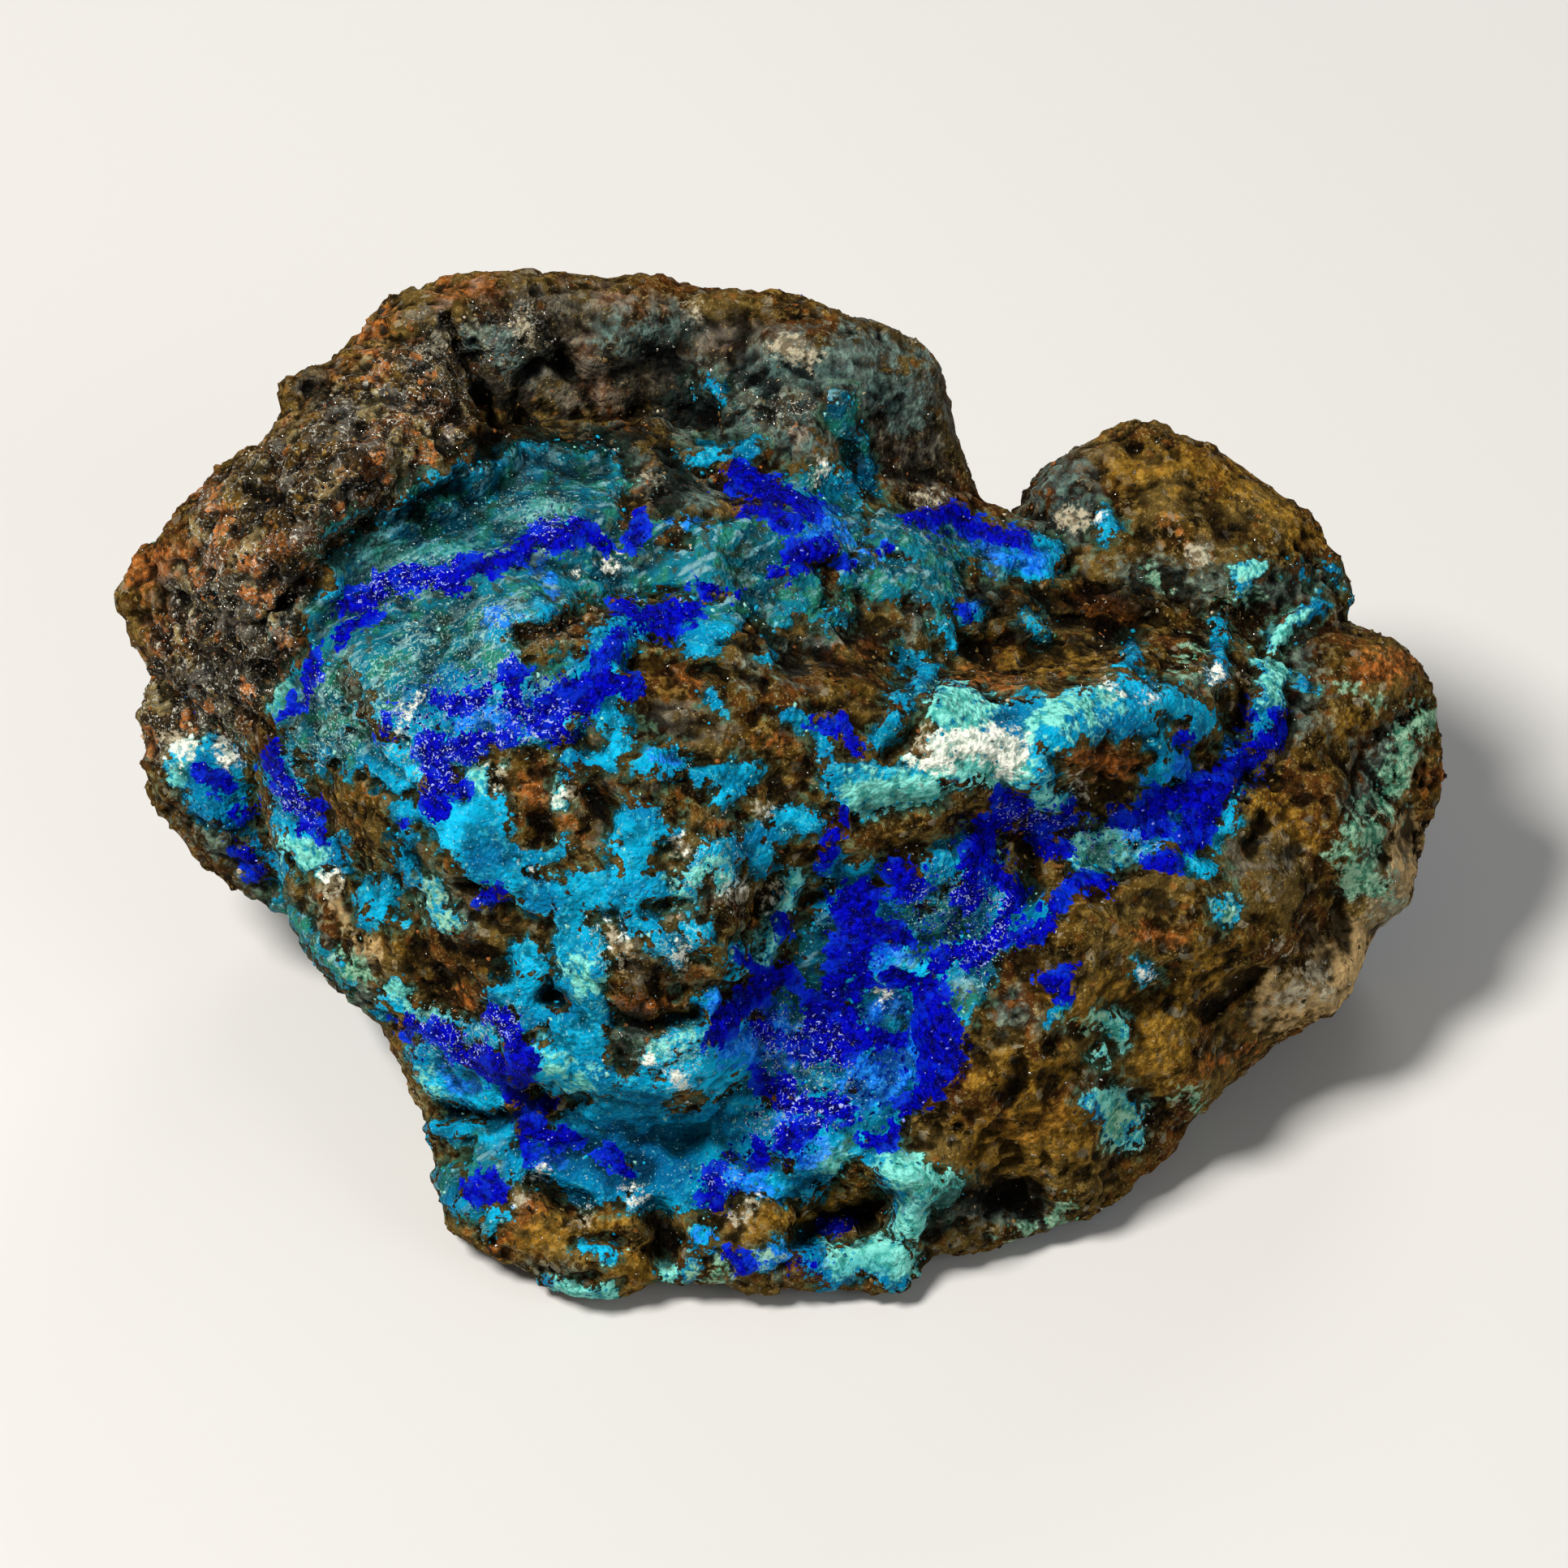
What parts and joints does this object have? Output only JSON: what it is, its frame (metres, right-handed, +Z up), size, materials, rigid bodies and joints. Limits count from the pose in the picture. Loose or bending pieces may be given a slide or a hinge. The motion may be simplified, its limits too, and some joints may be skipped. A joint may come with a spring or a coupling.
{
  "type": "azurite chrysocolla malachite specimen",
  "caption": "Broken hand piece of oxidised copper ore, blue and turquoise crusts on brown limonite, resting on a flat fracture.",
  "frame": {"origin": "middle of the stone's outer box, on the surface it rests on", "axes": "+X along the stone's length, to the right seen from its showing side; -Y towards the viewer, +Z up"},
  "size_m": [0.0496, 0.0346, 0.0261],
  "materials": {
    "limonite": "dull broken earthy brown, rust and ochre patches",
    "azurite": "fine glittering deep blue crystal crust",
    "chrysocolla": "waxy turquoise crust, paler and chalky at its edges",
    "malachite": "matt green stain",
    "quartz": "small glassy pale grains"
  },
  "bodies": {
    "root": {"ore_stone": "limonite"}
  },
  "joints": []
}
